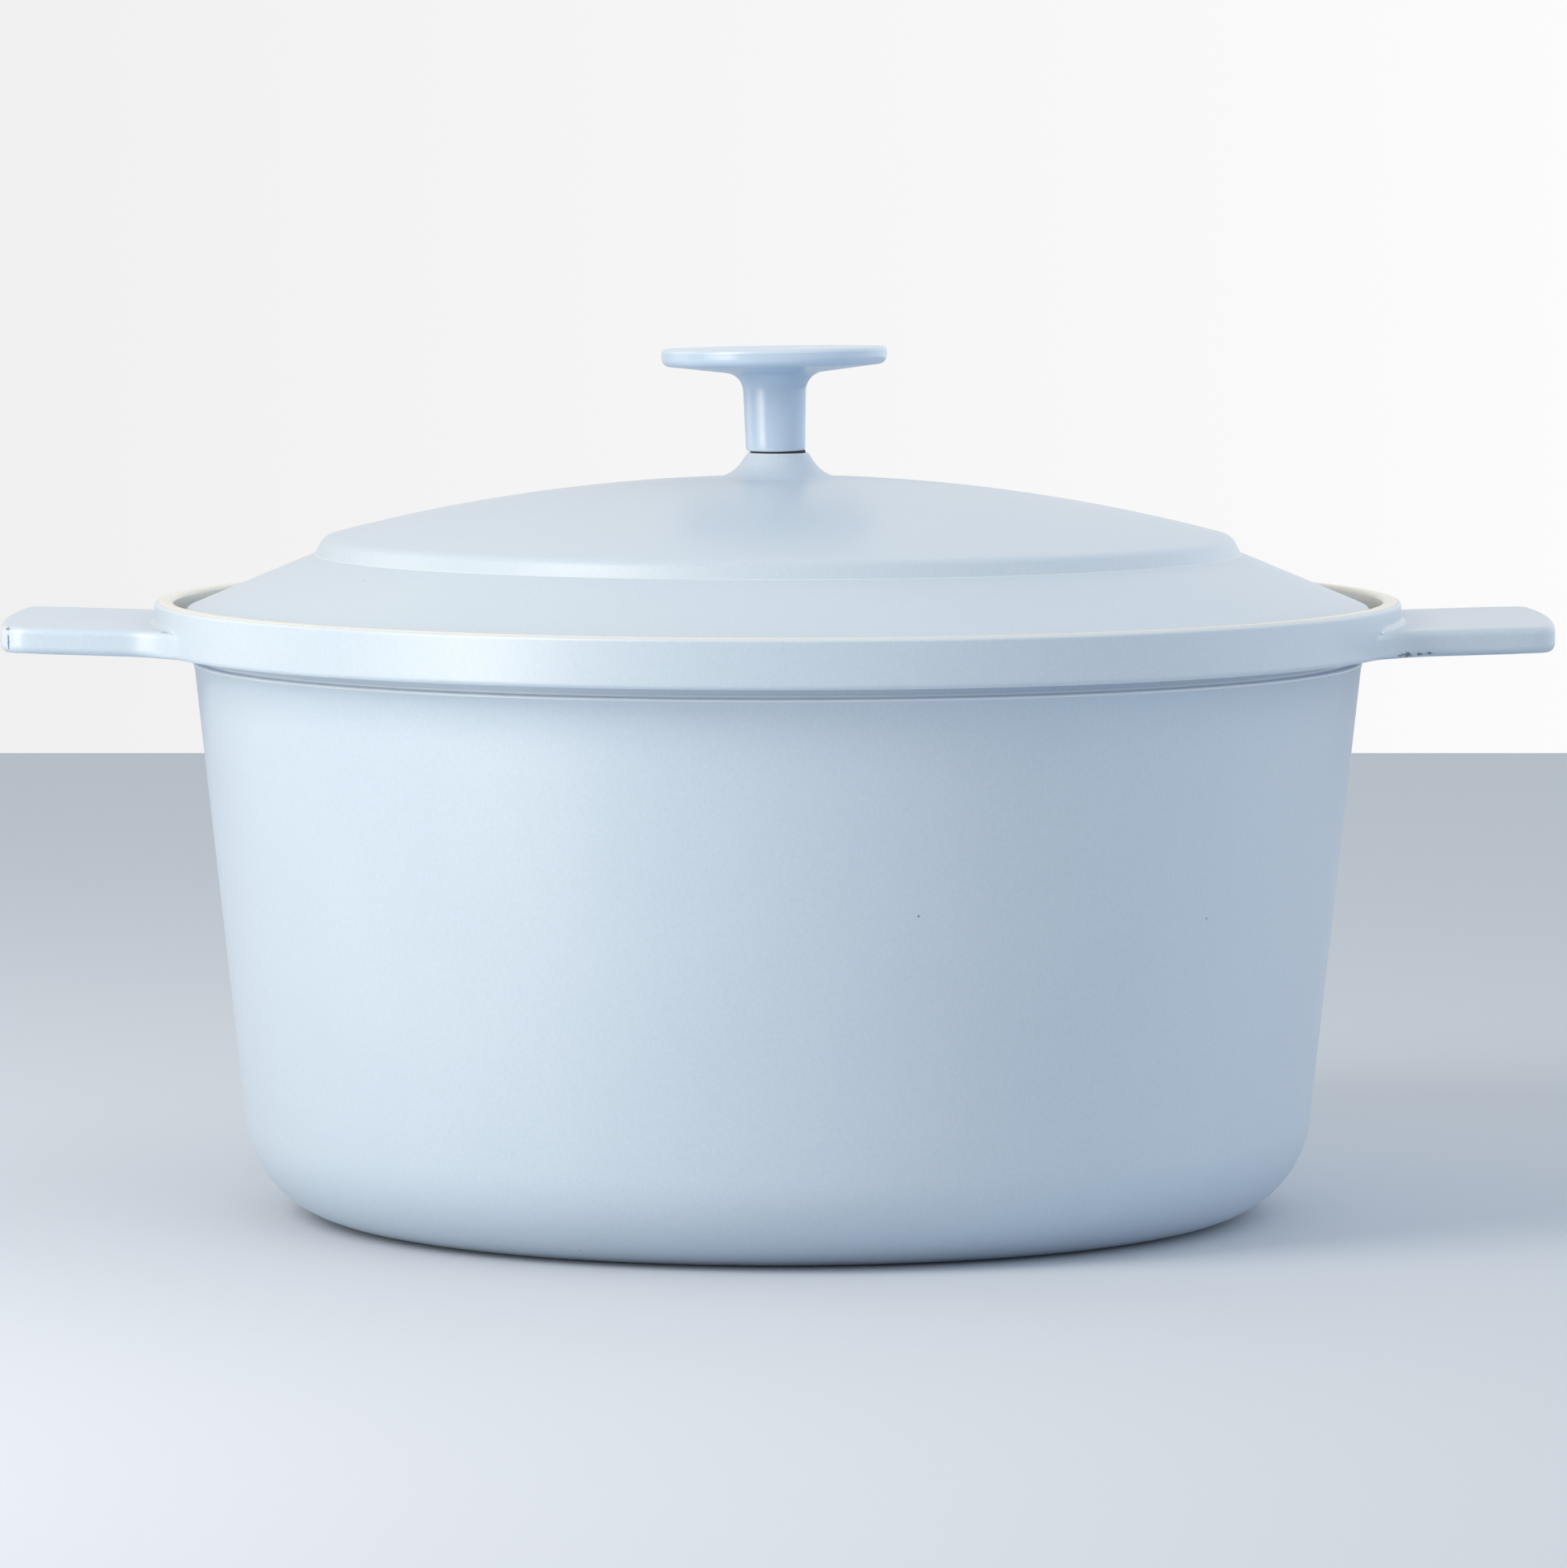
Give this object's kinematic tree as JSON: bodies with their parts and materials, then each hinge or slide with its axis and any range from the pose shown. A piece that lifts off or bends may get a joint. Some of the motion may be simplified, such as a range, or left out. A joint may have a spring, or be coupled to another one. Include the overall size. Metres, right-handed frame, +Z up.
{
  "type": "dutch oven",
  "caption": "Round enamelled cast iron dutch oven with tab handles, a square collar and a domed lid that drops inside the rim and lifts by a disc knob.",
  "frame": {"origin": "centre of the foot, on the surface the pot stands on", "axes": "+Z up, +X along the two handles, and -Y the side seen from the front"},
  "size_m": [0.3328, 0.268, 0.1864],
  "materials": {
    "blue_enamelled_iron": "satin",
    "cream_enamel": "gloss",
    "blue_knob": "satin",
    "dark_gasket": "matte",
    "silicone": "satin",
    "steel": "satin"
  },
  "bodies": {
    "pot": {"pot_casting": "blue_enamelled_iron", "pot_lining": "cream_enamel"},
    "lid": {"lid_casting": "blue_enamelled_iron", "lid_lining": "cream_enamel", "knob": "blue_knob", "knob_gasket": "dark_gasket", "seal_washer": "silicone", "flat_washer": "steel", "spring_washer": "steel", "knob_screw": "steel"}
  },
  "joints": [
    {"name": "lid_lift", "type": "slide", "parent": "pot", "child": "lid", "axis": [0, 0, 1], "range_m": [0, 0.15]}
  ]
}
